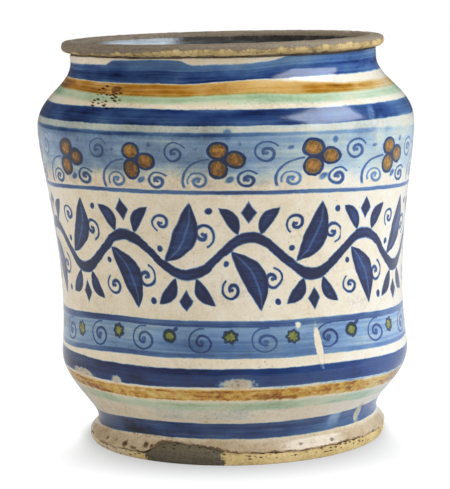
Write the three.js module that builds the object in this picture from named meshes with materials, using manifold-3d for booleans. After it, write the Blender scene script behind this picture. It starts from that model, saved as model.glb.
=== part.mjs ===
import * as THREE from 'three';
import { mergeVertices } from 'three/addons/utils/BufferGeometryUtils.js';
import Module from 'manifold-3d';

// Albarello: a squat, waisted earthenware pharmacy jar, thrown on a wheel, with a tin glaze
// over the outside and a darker lining glaze inside. Millimetres, +Z up. The origin is the
// middle of the foot's standing face, and the front of the jar faces -Y.

// Heights above the standing face
const jarHeight = 165;
const footEdgeHeight = 3;
const footGrooveHeight = 10.8;
const heelHeight = 36.5;
const waistHeight = 58;

// Heights below the rim's crest
const shoulderDrop = 35;
const neckDrop = 8.5;
const lipHeight = 4.8;

// Radii of the bare clay, outside
const footRadius = 60.6;
const footEdgeRadius = 61.1;
const footGrooveRadius = 57.6;
const heelRadius = 71.3;
const waistRadius = 70;
const shoulderRadius = 76.7;
const neckRadius = 61.9;
const lipRadius = 66.2;

// The rim's worn flat crest, and the corners around it
const crestRadius = 63.2;
const crestWidth = 1.8;
const lipTipDrop = 2.6;
const mouthEdge = 2.6;
const mouthEdgeDrop = 2.8;
const underLipHollow = 0.8;

// Clay thickness, floor and the turned recess under it
const wallThickness = 5.5;
const floorThickness = 7;
const floorCorner = 12;
const recessRadius = 49;
const recessDepth = 2.2;
const recessSlope = 2.5;

// The rings that a thrower's fingers leave inside
const fingerRingDepth = 0.55;
const fingerRingPitch = 17;
const fingerRingStart = 24;
const fingerRingEnd = 122;

// Glaze coats: both stop short of the worn rim, and the outer one short of the foot
const glazeThickness = 0.5;
const seatGap = 0.3;
const glazeFootHeight = 4.7;
const glazeRimDrop = 5.6;
const liningRimDrop = 4.2;
const glazeEdgeWander = 0.35;

// Where the glaze has worn off the foot, as an angle from the front, towards +X
const wornFootAngle = -19;
const wornFootSpread = 15;
const wornFootRise = 4.2;

// Flakes missing from the outer glaze: angle from the front, height up the jar, width and depth
const flakes = [
  { angle: 3, height: 35.4, wide: 9, tall: 2.4 },
  { angle: -41, height: 34.2, wide: 3.4, tall: 2.6 },
  { angle: 44, height: 20.4, wide: 3.2, tall: 5.6 },
  { angle: 132, height: 33.6, wide: 5.5, tall: 2.8 },
  { angle: -128, height: 141.5, wide: 4.2, tall: 3 },
];

const turns = 36;

const clayColour = 0xdcc591;
const glazeColour = 0xe6dcc4;
const liningColour = 0x3c4141;

const wasm = await Module();
wasm.setup();

const point = (radius, height) => new THREE.Vector2(radius, height);

// One stretch of wall between two heights where it stands upright; the fullnesses say how
// far each end keeps its own radius before the wall swings across to the other.
function swing(from, to, fullStart, fullEnd, steps) {
  const rise = to.y - from.y;
  const startHandle = point(from.x, from.y + fullStart * rise);
  const endHandle = point(to.x, to.y - fullEnd * rise);
  const curve = new THREE.CubicBezierCurve(from, startHandle, endHandle, to);
  return curve.getPoints(steps).slice(1);
}

function bend(from, corner, to, steps) {
  return new THREE.QuadraticBezierCurve(from, corner, to).getPoints(steps).slice(1);
}

// The outline moved sideways along its own normals; a rising outline moves outwards
function offset(outline, distance) {
  return outline.map((here, i) => {
    const before = outline[Math.max(i - 1, 0)];
    const after = outline[Math.min(i + 1, outline.length - 1)];
    const along = after.clone().sub(before).normalize();
    return point(here.x + along.y * distance, here.y - along.x * distance);
  });
}

const between = (outline, low, high) => outline.filter((p) => p.y > low && p.y < high);

// Turned solids

function turned(outline) {
  const shape = new THREE.LatheGeometry([...outline, outline[0].clone()], turns);
  return shape.rotateX(Math.PI / 2);
}

function solid(geometry) {
  const bare = geometry.clone();
  bare.deleteAttribute('normal');
  bare.deleteAttribute('uv');
  const merged = mergeVertices(bare, 1e-4);
  return new wasm.Manifold(new wasm.Mesh({
    numProp: 3,
    vertProperties: new Float32Array(merged.attributes.position.array),
    triVerts: new Uint32Array(merged.index.array),
  }));
}

function geometryOf(body) {
  const mesh = body.getMesh();
  const geometry = new THREE.BufferGeometry();
  geometry.setAttribute('position', new THREE.BufferAttribute(mesh.vertProperties, 3));
  geometry.setIndex(new THREE.BufferAttribute(mesh.triVerts, 1));
  return geometry;
}

// The potter's outline

const footEdge = point(footEdgeRadius, footEdgeHeight);
const footGroove = point(footGrooveRadius, footGrooveHeight);
const heel = point(heelRadius, heelHeight);
const waist = point(waistRadius, waistHeight);
const shoulder = point(shoulderRadius, jarHeight - shoulderDrop);
const neck = point(neckRadius, jarHeight - neckDrop);

const outside = [
  footEdge,
  ...swing(footEdge, footGroove, 0.38, 0.55, 3),
  ...swing(footGroove, heel, 0.32, 0.45, 6),
  ...swing(heel, waist, 0.1, 0.53, 3),
  ...swing(waist, shoulder, 0.47, 0.19, 5),
  ...swing(shoulder, neck, 0.48, 0.4, 6),
];

// The lip: a hollow under it, a blunt tip, a flat crest and a soft inner edge
const lipFoot = jarHeight - lipHeight;
const lipTip = point(lipRadius, jarHeight - lipTipDrop);
const crestOut = point(crestRadius, jarHeight);
const crestIn = point(crestRadius - crestWidth, jarHeight);
const mouth = point(crestIn.x - mouthEdge, jarHeight - mouthEdgeDrop);
const hollow = point(neckRadius, lipFoot - underLipHollow);
const underLip = point(neckRadius + underLipHollow, lipFoot);

const lip = [
  hollow,
  ...bend(hollow, point(neckRadius, lipFoot), underLip, 2),
  ...bend(underLip, point(lipRadius, lipFoot + underLipHollow / 2), lipTip, 3),
  ...bend(lipTip, point(lipRadius, jarHeight), crestOut, 3),
  crestIn,
  ...bend(crestIn, point(mouth.x, jarHeight), mouth, 2),
];

// The inside follows the outside at the wall's thickness, with the thrower's finger rings
const floorTop = recessDepth + floorThickness;
const insideFoot = floorTop + floorCorner / 2;

function fingerRing(height) {
  const share = (height - fingerRingStart) / (fingerRingEnd - fingerRingStart);
  const fade = Math.sin(Math.PI * THREE.MathUtils.clamp(share, 0, 1));
  return fade * fingerRingDepth * Math.cos((2 * Math.PI * height) / fingerRingPitch);
}

function radiusAt(outline, height) {
  const upper = outline.findIndex((p) => p.y >= height);
  const a = outline[upper - 1];
  const b = outline[upper];
  return THREE.MathUtils.mapLinear(height, a.y, b.y, a.x, b.x);
}

const smoothInside = offset(outside, -wallThickness);
const throat = smoothInside[smoothInside.length - 1];
const insideShoulder = shoulder.y - wallThickness;
const ringCount = Math.max(2, Math.round(((insideShoulder - insideFoot) / fingerRingPitch) * 3));
const wall = Array.from({ length: ringCount + 1 }, (_, i) => {
  const height = THREE.MathUtils.lerp(insideFoot, insideShoulder, i / ringCount);
  return point(radiusAt(smoothInside, height) + fingerRing(height), height);
});

const floorEdge = point(wall[0].x - floorCorner, floorTop);
const floorBend = point(wall[0].x - floorCorner / 4, floorTop);

// From the middle of the floor out, up the wall and over to the mouth
const inside = [
  point(0, floorTop),
  floorEdge,
  ...bend(floorEdge, floorBend, wall[0], 4),
  ...wall.slice(1),
  ...between(smoothInside, insideShoulder + 0.1, throat.y),
  throat,
  mouth,
];

// Clay body

function clayBody() {
  const recessTop = point(recessRadius - recessSlope, recessDepth);
  const outline = [
    point(0, recessDepth),
    recessTop,
    point(recessRadius, 0),
    point(footRadius, 0),
    ...outside,
    ...lip,
    ...inside.slice(0, -1).reverse(),
  ];
  return new THREE.LatheGeometry(outline, turns).rotateX(Math.PI / 2);
}

// Glaze edges wander as the dipped glaze ran, and lift over the worn part of the foot

const fromFront = (x, y) => Math.atan2(x, -y);

function wander(angle) {
  const slow = Math.sin(3 * angle + 0.4) + 0.6 * Math.sin(5 * angle + 2.1);
  return glazeEdgeWander * (slow + 0.5 * Math.sin(9 * angle + 0.9));
}

function wornFoot(angle) {
  const away = THREE.MathUtils.radToDeg(angle) - wornFootAngle;
  return wornFootRise * Math.exp(-((away / wornFootSpread) ** 4));
}

const footGlazeEdge = (angle) => glazeFootHeight + wander(angle) + wornFoot(angle);
const rimGlazeEdge = (angle) => jarHeight - glazeRimDrop + 0.5 * wander(angle + 1);
const liningEdge = (angle) => jarHeight - liningRimDrop + 0.6 * wander(angle + 3);

// A ring around the jar with one wandering face, to trim a coat's edge at
function trimRing(innerRadius, outerRadius, edge, farHeight) {
  const outline = [
    point(innerRadius, Math.min(0, farHeight)),
    point(outerRadius, Math.min(0, farHeight)),
    point(outerRadius, Math.max(0, farHeight)),
    point(innerRadius, Math.max(0, farHeight)),
  ];
  const ring = turned(outline);
  const place = ring.attributes.position;
  for (let i = 0; i < place.count; i += 1) {
    const height = edge(fromFront(place.getX(i), place.getY(i)));
    place.setZ(i, place.getZ(i) + height);
  }
  return solid(ring);
}

const beyond = lipRadius + shoulderRadius;
const trimDepth = 2 * jarHeight;

// Outer glaze

function flakeCutter({ angle, height, wide, tall }) {
  const edge = Array.from({ length: 11 }, (_, i) => {
    const turn = (2 * Math.PI * i) / 11;
    const rough = 1 + 0.16 * Math.sin(3 * turn + height) + 0.1 * Math.sin(4 * turn + angle);
    return point((Math.cos(turn) * rough * wide) / 2, (Math.sin(turn) * rough * tall) / 2);
  });
  const depth = shoulderRadius;
  const cutter = new THREE.ExtrudeGeometry(new THREE.Shape(edge), { depth, bevelEnabled: false });
  cutter.rotateX(Math.PI / 2);
  cutter.translate(0, -footGrooveRadius / 2, height);
  cutter.rotateZ(THREE.MathUtils.degToRad(angle));
  return solid(cutter);
}

function outerGlaze() {
  const covered = [...outside, ...lip.slice(0, 2)];
  const seat = offset(covered, seatGap);
  const face = offset(covered, seatGap + glazeThickness);
  let coat = solid(turned([...face, ...seat.reverse()]));
  coat = coat.subtract(trimRing(0, beyond, footGlazeEdge, -trimDepth));
  coat = coat.subtract(trimRing(0, beyond, rimGlazeEdge, trimDepth));
  for (const flake of flakes) coat = coat.subtract(flakeCutter(flake));
  return geometryOf(coat);
}

// Inner glaze, over the floor and up the wall to just inside the mouth

function innerGlaze() {
  const seat = offset(inside, -seatGap);
  const face = offset(inside, -seatGap - glazeThickness);
  const outline = [...seat, ...face.reverse()];
  const coat = solid(new THREE.LatheGeometry(outline, turns).rotateX(Math.PI / 2));
  return geometryOf(coat.subtract(trimRing(0, beyond, liningEdge, trimDepth)));
}

function piece(name, geometry, color, roughness) {
  const material = new THREE.MeshStandardMaterial({ color, roughness, metalness: 0 });
  const mesh = new THREE.Mesh(geometry, material);
  mesh.name = name;
  return mesh;
}

const albarello = new THREE.Group();
albarello.add(piece('clay_body', clayBody(), clayColour, 0.85));
albarello.add(piece('outer_glaze', outerGlaze(), glazeColour, 0.15));
albarello.add(piece('inner_glaze', innerGlaze(), liningColour, 0.25));

export default albarello;
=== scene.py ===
import bisect
import math
from functools import reduce

import bmesh
import bpy
from mathutils import Matrix, Vector, noise


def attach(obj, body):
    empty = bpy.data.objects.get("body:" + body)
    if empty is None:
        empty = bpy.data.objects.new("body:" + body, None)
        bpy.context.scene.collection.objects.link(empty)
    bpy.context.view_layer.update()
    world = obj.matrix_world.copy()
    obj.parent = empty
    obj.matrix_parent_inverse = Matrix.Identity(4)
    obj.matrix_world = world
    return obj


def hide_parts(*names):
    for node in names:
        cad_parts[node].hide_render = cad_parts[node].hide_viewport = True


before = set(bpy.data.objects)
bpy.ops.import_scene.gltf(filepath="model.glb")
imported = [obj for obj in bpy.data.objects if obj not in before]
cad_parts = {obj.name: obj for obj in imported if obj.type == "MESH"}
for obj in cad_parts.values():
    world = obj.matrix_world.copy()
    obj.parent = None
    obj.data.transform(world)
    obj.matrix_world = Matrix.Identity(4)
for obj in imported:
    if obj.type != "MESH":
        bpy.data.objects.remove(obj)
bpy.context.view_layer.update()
print("frame loaded")

mm = 0.001
fullTurn = 2 * math.pi
perRadian = 180 / math.pi

# The jar was thrown by hand, so it leans a little to the left about its middle height
handThrown = {
    "lean": 0.018,
    "pivot": 82.5,
    "oval": 0.16,
    "threeLobes": 0.09,
    "ripple": 0.035,
    "rippleEvery": 5.2,
    "footLower": 1.9,
    "footOut": 0.9,
    # degrees from the front over which the left side starts, and ends at the back
    "leftFrom": (-20.0, -75.0),
    "leftTo": (-160.0, -105.0),
    # heights over which each of these comes in
    "wobbleFrom": (0, 20),
    "rippleFrom": (12, 30),
    "lowerFrom": (0, 4),
    "lowerTo": (30, 14),
    "outTo": (9, 4),
}


def smooth(low, high, value):
    # eases from 0 to 1 as the value goes from low to high, which may be the smaller
    share = min(max((value - low) / (high - low), 0.0), 1.0)
    return share * share * (3 - 2 * share)


def srgb(red, green, blue):
    # a colour as a screen shows it, 0 to 255, turned to the shader's own scale
    parts = [c / 255 for c in (red, green, blue)]
    return [c / 12.92 if c <= 0.04045 else ((c + 0.055) / 1.055) ** 2.4 for c in parts] + [1.0]


# Camera, at the photograph's height and angle

camera = {
    "place": (0.0, -0.8235, 0.1988),
    "pitch": 8.28,
    "yaw": -0.16,
    "roll": -1.4,
    "lens": 147.2,
}


def addCamera(c):
    pitch, yaw, roll = (math.radians(c[k]) for k in ("pitch", "yaw", "roll"))
    ahead = Vector((
        math.sin(yaw) * math.cos(pitch), math.cos(yaw) * math.cos(pitch), -math.sin(pitch),
    ))
    right = Vector((math.cos(yaw), -math.sin(yaw), 0))
    up = right.cross(ahead)
    rightRolled = right * math.cos(roll) + up * math.sin(roll)
    upRolled = up * math.cos(roll) - right * math.sin(roll)
    turn = Matrix((rightRolled, upRolled, -ahead)).transposed().to_4x4()
    data = bpy.data.cameras.new("photoCamera")
    data.lens = c["lens"]
    data.sensor_width = 36
    obj = bpy.data.objects.new("photoCamera", data)
    obj.matrix_world = Matrix.Translation(c["place"]) @ turn
    bpy.context.collection.objects.link(obj)
    bpy.context.scene.camera = obj


addCamera(camera)


# Materials are written as sums of wires: a wire is one value in a node tree

class Wire:
    def __init__(self, tree, socket):
        self.tree = tree
        self.socket = socket

    def __add__(self, other):
        return maths(self.tree, "ADD", self, other)

    def __sub__(self, other):
        return maths(self.tree, "SUBTRACT", self, other)

    def __rsub__(self, other):
        return maths(self.tree, "SUBTRACT", other, self)

    def __mul__(self, other):
        return maths(self.tree, "MULTIPLY", self, other)

    def __truediv__(self, other):
        return maths(self.tree, "DIVIDE", self, other)

    def __abs__(self):
        return maths(self.tree, "ABSOLUTE", self)


def plug(tree, value, socket):
    if isinstance(value, Wire):
        tree.links.new(value.socket, socket)
    else:
        socket.default_value = value


def maths(tree, operation, *values):
    node = tree.nodes.new("ShaderNodeMath")
    node.operation = operation
    for value, socket in zip(values, node.inputs):
        plug(tree, value, socket)
    return Wire(tree, node.outputs[0])


def least(a, b):
    return maths(a.tree, "MINIMUM", a, b)


def most(a, b):
    return maths(a.tree, "MAXIMUM", a, b)


def ramp(value, low, high, start=0.0, end=1.0):
    # eases from start to end as the value goes from low to high
    node = value.tree.nodes.new("ShaderNodeMapRange")
    node.interpolation_type = "SMOOTHSTEP"
    for given, socket in zip((value, low, high, start, end), node.inputs):
        plug(value.tree, given, socket)
    return Wire(value.tree, node.outputs[0])


def fall(value, low, high):
    return ramp(value, low, high, 1.0, 0.0)


def vector(x, y, z):
    tree = x.tree
    node = tree.nodes.new("ShaderNodeCombineXYZ")
    for value, socket in zip((x, y, z), node.inputs):
        plug(tree, value, socket)
    return Wire(tree, node.outputs[0])


def split(tree, wire):
    node = tree.nodes.new("ShaderNodeSeparateXYZ")
    plug(tree, wire, node.inputs[0])
    return [Wire(tree, out) for out in node.outputs]


def reach(a, b):
    # length of the two sides' diagonal
    return maths(a.tree, "SQRT", maths(a.tree, "MULTIPLY_ADD", a, a, b * b))


def cloud(place, scale, detail=2.0, roughness=0.5):
    # soft noise centred on nought, about -0.5 to 0.5
    node = place.tree.nodes.new("ShaderNodeTexNoise")
    plug(place.tree, place, node.inputs["Vector"])
    node.inputs["Scale"].default_value = scale
    node.inputs["Detail"].default_value = detail
    node.inputs["Roughness"].default_value = roughness
    return Wire(place.tree, node.outputs[0]) - 0.5


def chance(tree, number, seed):
    # three random values, -0.5 to 0.5, for each whole number
    node = tree.nodes.new("ShaderNodeTexWhiteNoise")
    node.noise_dimensions = "1D"
    plug(tree, number * 7.13 + seed, node.inputs["W"])
    return [part - 0.5 for part in split(tree, Wire(tree, node.outputs["Color"]))]


def grains(place, scale, size, share, seed=0.0):
    # round specks, 1 at their middles; share says how many of the cells have one
    tree = place.tree
    shift = tree.nodes.new("ShaderNodeVectorMath")
    shift.operation = "ADD"
    plug(tree, place, shift.inputs[0])
    shift.inputs[1].default_value = (seed, seed * 1.7, seed * 0.6)
    node = tree.nodes.new("ShaderNodeTexVoronoi")
    tree.links.new(shift.outputs[0], node.inputs["Vector"])
    node.inputs["Scale"].default_value = scale
    away = Wire(tree, node.outputs["Distance"])
    pick = split(tree, Wire(tree, node.outputs["Color"]))
    return fall(away, size * 0.4, size) * fall(pick[0], share - 0.02, share + 0.02)


def tint(tree, value, stops):
    # colour of a layer as its thickness goes from 0 to 1
    node = tree.nodes.new("ShaderNodeValToRGB")
    elements = node.color_ramp.elements
    elements.remove(elements[1])
    elements[0].position = stops[0][0]
    elements[0].color = (*stops[0][1][:3], 1.0)
    for place, colour in stops[1:]:
        elements.new(place).color = (*colour[:3], 1.0)
    plug(tree, value, node.inputs[0])
    return Wire(tree, node.outputs[0])


def blend(tree, mode, factor, first, second):
    node = tree.nodes.new("ShaderNodeMix")
    node.data_type = "RGBA"
    node.blend_type = mode
    plug(tree, factor, node.inputs[0])
    plug(tree, first, node.inputs[6])
    plug(tree, second, node.inputs[7])
    return Wire(tree, node.outputs[2])


def over(colour, share, new):
    # so much of the new colour laid over the first
    return blend(colour.tree, "MIX", share, colour, new)


def newMaterial(name):
    material = bpy.data.materials.new(name)
    material.use_nodes = True
    tree = material.node_tree
    return material, tree, tree.nodes["Principled BSDF"]


def objectPlace(tree):
    # the piece's own coordinates, in millimetres
    source = tree.nodes.new("ShaderNodeTexCoord")
    scale = tree.nodes.new("ShaderNodeVectorMath")
    scale.operation = "SCALE"
    scale.inputs["Scale"].default_value = 1000
    tree.links.new(source.outputs["Object"], scale.inputs[0])
    return Wire(tree, scale.outputs[0])


def relief(tree, height, distance, strength, shader):
    node = tree.nodes.new("ShaderNodeBump")
    node.inputs["Strength"].default_value = strength
    node.inputs["Distance"].default_value = distance * mm
    plug(tree, height, node.inputs["Height"])
    tree.links.new(node.outputs[0], shader.inputs["Normal"])


def aroundJar(tree):
    # place, angle from the front, and height, with the lean taken out
    place = objectPlace(tree)
    x, y, z = split(tree, place)
    upright = x + (z - handThrown["pivot"]) * handThrown["lean"]
    angle = maths(tree, "ARCTAN2", upright, y * -1.0)
    return place, upright, y, z, angle


def between(value, low, high, soft):
    return ramp(value, low - soft, low) * fall(value, high, high + soft)


# The potter's outline, as (radius, height) in millimetres

jar = {
    "height": 165.0,
    "footEdge": (61.1, 3.0),
    "footGroove": (57.6, 10.8),
    "heel": (71.3, 36.5),
    "waist": (70.0, 58.0),
    "shoulder": (76.7, 130.0),
    "neck": (61.9, 156.5),
    "lipFoot": 160.2,
    "lipTip": (66.2, 162.4),
    "crest": (63.2, 61.4),
    "mouth": (58.8, 162.2),
    "hollow": 0.8,
    "wall": 5.5,
    "floorTop": 9.2,
    "floorCorner": 12.0,
    "recess": (49.0, 2.2, 2.5),
    "footCorner": 0.7,
    "finger": (0.55, 17.0, 24.0, 122.0),
}

coat = {
    "gap": 0.3,
    "thickness": 0.5,
    "footHeight": 4.7,
    "rimHeight": 159.4,
    # how far the edges wander, and the waves in it: how many round the jar, phase, size
    "wander": 0.35,
    "waves": ((3, 0.4, 1.0), (5, 2.1, 0.6), (9, 0.9, 0.5), (23, 1.3, 0.3), (41, 0.2, 0.24)),
    # the worn stretch of the foot, and where along it the wear drops to a share
    "wornAngle": -19.0,
    "wornSpread": 15.0,
    "wornRise": 4.2,
    "wornLess": (-8.0, 14.0, 0.5),
    # the edges' wander is felt up to one height and down to the other
    "footFade": 22,
    "rimFade": 150,
    "rowEvery": 1.12,
    "columns": 448,
    "backRows": 3.2,
    "flawRadius": 71.0,  # the wall's, near enough, where flaws are placed
    "flakeDeep": 0.42,
    "flakes": (
        # degrees from the front, height, half width, half height
        (0.5, 35.0, 6.8, 2.2),
        (-41.0, 34.2, 2.4, 1.7),
        (54.8, 14.2, 2.6, 4.1),
        (132.0, 33.6, 5.5, 2.8),
        (-128.0, 141.5, 4.2, 3.0),
    ),
    # the bake's chart: each part's lowest V and its height there, and the heights on the jar
    "charts": {"hidden": (0.96, 0.03), "back": (0.01, 0.46), "front": (0.485, 0.46)},
    "chartFoot": 1,
    "chartTall": 162,
}

lining = {
    "rimHeight": 160.8,
    "edgeFrom": (150, 160),
    "columns": 256,
    "rowEvery": 2.2,
}


def bezier(points, steps):
    # points along the curve, the first left out
    last = len(points) - 1
    curve = []
    for i in range(1, steps + 1):
        t = i / steps
        weights = [math.comb(last, k) * t**k * (1 - t) ** (last - k) for k in range(last + 1)]
        curve.append(tuple(sum(w * p[axis] for w, p in zip(weights, points)) for axis in (0, 1)))
    return curve


def swing(start, end, fullStart, fullEnd, steps):
    # a stretch of wall that stands upright at both ends
    rise = end[1] - start[1]
    startHandle = (start[0], start[1] + fullStart * rise)
    endHandle = (end[0], end[1] - fullEnd * rise)
    return bezier([start, startHandle, endHandle, end], steps)


def outsideOutline(fineness):
    def steps(count):
        return max(3, round(count * fineness))

    return [
        jar["footEdge"],
        *swing(jar["footEdge"], jar["footGroove"], 0.38, 0.55, steps(12)),
        *swing(jar["footGroove"], jar["heel"], 0.32, 0.45, steps(32)),
        *swing(jar["heel"], jar["waist"], 0.1, 0.53, steps(20)),
        *swing(jar["waist"], jar["shoulder"], 0.47, 0.19, steps(60)),
        *swing(jar["shoulder"], jar["neck"], 0.48, 0.4, steps(36)),
    ]


def lipOutline(steps):
    radius, foot, hollow, top = jar["neck"][0], jar["lipFoot"], jar["hollow"], jar["height"]
    start = (radius, foot - hollow)
    under = (radius + hollow, foot)
    tip = jar["lipTip"]
    crestOut, crestIn = ((r, top) for r in jar["crest"])
    return [
        start,
        *bezier([start, (radius, foot), under], steps // 2),
        *bezier([under, (tip[0], foot + hollow / 2), tip], steps),
        *bezier([tip, (tip[0], top), crestOut], steps),
        crestIn,
        *bezier([crestIn, (jar["mouth"][0], top), jar["mouth"]], steps),
    ]


def offsetOutline(outline, distance):
    # moved sideways along its own normals; a rising outline moves outwards
    moved = []
    for i, (r, z) in enumerate(outline):
        before = outline[max(i - 1, 0)]
        after = outline[min(i + 1, len(outline) - 1)]
        along = Vector((after[0] - before[0], after[1] - before[1])).normalized()
        moved.append((r + along.y * distance, z - along.x * distance))
    return moved


def radiusAt(outline, height):
    heights = [z for _, z in outline]
    i = min(max(bisect.bisect_left(heights, height), 1), len(outline) - 1)
    (r0, z0), (r1, z1) = outline[i - 1], outline[i]
    return r0 + (r1 - r0) * (height - z0) / (z1 - z0)


def insideOutline(every):
    # from the middle of the floor out, up the wall and over to the mouth
    smoothInside = offsetOutline(outsideOutline(1), -jar["wall"])
    depth, pitch, start, end = jar["finger"]
    low = jar["floorTop"] + jar["floorCorner"] / 2
    throat = smoothInside[-1][1]
    rows = round((throat - low) / every)
    wall = []
    for i in range(rows + 1):
        z = low + (throat - low) * i / rows
        fade = math.sin(math.pi * min(max((z - start) / (end - start), 0), 1))
        wall.append((radiusAt(smoothInside, z) + fade * depth * math.cos(fullTurn * z / pitch), z))
    edge = (wall[0][0] - jar["floorCorner"], jar["floorTop"])
    corner = (wall[0][0] - jar["floorCorner"] / 4, jar["floorTop"])
    floor = [(edge[0] * i / 8, jar["floorTop"]) for i in range(8)]
    return [*floor, edge, *bezier([edge, corner, wall[0]], 10), *wall[1:], jar["mouth"]]


def resample(outline, low, high, every):
    # even steps along the outline between two heights
    inner = [p for p in outline if low < p[1] < high]
    path = [(radiusAt(outline, low), low), *inner, (radiusAt(outline, high), high)]
    lengths = [0.0]
    for a, b in zip(path, path[1:]):
        lengths.append(lengths[-1] + math.dist(a, b))
    count = round(lengths[-1] / every)
    points = []
    for i in range(count + 1):
        goal = lengths[-1] * i / count
        j = min(max(bisect.bisect_left(lengths, goal), 1), len(path) - 1)
        share = (goal - lengths[j - 1]) / (lengths[j] - lengths[j - 1])
        a, b = path[j - 1], path[j]
        points.append((a[0] + (b[0] - a[0]) * share, a[1] + (b[1] - a[1]) * share))
    return points


def turnOutline(outline, columns, closed):
    # an eighth of the jar is spun, then doubled three times over
    bm = bmesh.new()
    ring = [bm.verts.new((r * mm, 0, z * mm)) for r, z in outline]
    for a, b in zip(ring, ring[1:]):
        bm.edges.new((a, b))
    if closed:
        bm.edges.new((ring[-1], ring[0]))
    bmesh.ops.spin(
        bm, geom=bm.verts[:] + bm.edges[:], cent=(0, 0, 0), axis=(0, 0, 1), dvec=(0, 0, 0),
        angle=fullTurn / 8, steps=columns // 8, use_merge=False, use_duplicate=False,
    )
    for share in (8, 4, 2):
        copied = bmesh.ops.duplicate(bm, geom=bm.verts[:] + bm.edges[:] + bm.faces[:])
        moved = [g for g in copied["geom"] if isinstance(g, bmesh.types.BMVert)]
        turn = Matrix.Rotation(fullTurn / share, 3, "Z")
        bmesh.ops.rotate(bm, verts=moved, cent=(0, 0, 0), matrix=turn)
    bmesh.ops.remove_doubles(bm, verts=bm.verts, dist=1e-6)
    bmesh.ops.recalc_face_normals(bm, faces=bm.faces)
    return bm


plainWall = outsideOutline(1)


def fromFront(co):
    return math.atan2(co.x, -co.y)


def leftSide(degrees):
    return smooth(*handThrown["leftFrom"], degrees) * smooth(*handThrown["leftTo"], degrees)


def wanderAt(angle):
    waves = (size * math.sin(times * angle + phase) for times, phase, size in coat["waves"])
    return coat["wander"] * sum(waves)


def footGlazeEdge(angle):
    away = math.degrees(angle) - coat["wornAngle"]
    start, end, left = coat["wornLess"]
    worn = coat["wornRise"] * math.exp(-((away / coat["wornSpread"]) ** 4))
    worn *= 1 - (1 - left) * smooth(start, end, away)
    return coat["footHeight"] + wanderAt(angle) + worn


def rimGlazeEdge(angle):
    return coat["rimHeight"] + 0.5 * wanderAt(angle + 1)


def liningEdge(angle):
    return lining["rimHeight"] + 0.6 * wanderAt(angle + 3)


def asThrown(co):
    # the small unevenness of a pot made by hand; it keeps the foot flat
    h = handThrown
    angle = fromFront(co)
    height = co.z / mm
    radius = math.hypot(co.x, co.y) / mm
    if radius > 1:
        wobble = h["oval"] * math.sin(2 * angle + 0.7)
        wobble += h["threeLobes"] * math.sin(3 * angle + height / 50)
        ripple = h["ripple"] * math.sin(fullTurn * height / h["rippleEvery"] + angle)
        patchy = 0.5 + noise.noise(Vector((angle, height / 18, 3)))
        ripple *= patchy * smooth(*h["rippleFrom"], height)
        grown = 1 + (wobble * smooth(*h["wobbleFrom"], height) + ripple) / radius
        low = height < h["lowerTo"][0]
        if low and radius > radiusAt(plainWall, max(height, 3)) - jar["wall"] / 2:
            # the foot's outside sits lower and stands out a little on the left
            share = leftSide(math.degrees(angle))
            shown = smooth(*h["lowerFrom"], height) * smooth(*h["lowerTo"], height)
            co.z -= h["footLower"] * share * shown * mm
            grown += h["footOut"] * share * smooth(*h["outTo"], height) / radius
        co.x *= grown
        co.y *= grown
    co.x -= h["lean"] * (height - h["pivot"]) * mm


def finish(bm, name, material, nodes, sharpAngle=0.7):
    mesh = bpy.data.meshes.new(name)
    for face in bm.faces:
        face.smooth = True
    for edge in bm.edges:
        if len(edge.link_faces) == 2 and edge.calc_face_angle(0) > sharpAngle:
            edge.smooth = False
    bm.to_mesh(mesh)
    bm.free()
    mesh.materials.append(material)
    obj = bpy.data.objects.new(name, mesh)
    bpy.context.collection.objects.link(obj)
    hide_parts(*nodes)
    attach(obj, "root")
    print(name, len(mesh.polygons), "faces")


def wanderWire(angle):
    # the same wander as the glaze's own edge has
    return reduce(Wire.__add__, (
        maths(angle.tree, "SINE", angle * times + phase) * (size * coat["wander"])
        for times, phase, size in coat["waves"]
    ))


def footLine(angle, z):
    # height above the glaze's lower edge
    degrees = angle * perRadian
    left = ramp(degrees, *handThrown["leftFrom"]) * ramp(degrees, *handThrown["leftTo"])
    z = z + left * handThrown["footLower"]
    away = degrees - coat["wornAngle"]
    spread = coat["wornSpread"]
    worn = ramp(abs(away), spread * 0.72, spread * 1.25, coat["wornRise"], 0.0)
    start, end, share = coat["wornLess"]
    worn = worn * ramp(away, start, end, 1.0, share)
    return z - worn - wanderWire(angle) - coat["footHeight"]


# Bare clay: foot, rim, and all that the glaze covers

clay = {
    "columns": 448,
    "lipSteps": 7,
    "lipRough": 0.15,
    "lipFrom": (158.6, 160.4),
    "lipRadius": 65,
    "footRough": 0.16,
    "footFrom": (0.0, 1.5),
    "footTo": (10.5, 7.5),
    "footInside": 55,
    "nicks": (
        # degrees from the front, height, size, depth
        (-62, 163.0, 2.2, 0.7),
        (-8, 161.4, 1.8, 0.5),
        (21, 162.6, 2.6, 0.6),
        (57, 161.6, 2.0, 0.7),
        (82, 161.8, 2.6, 1.1),
        (118, 163.6, 3.0, 0.9),
        (-140, 162.4, 2.4, 0.8),
    ),
}


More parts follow.
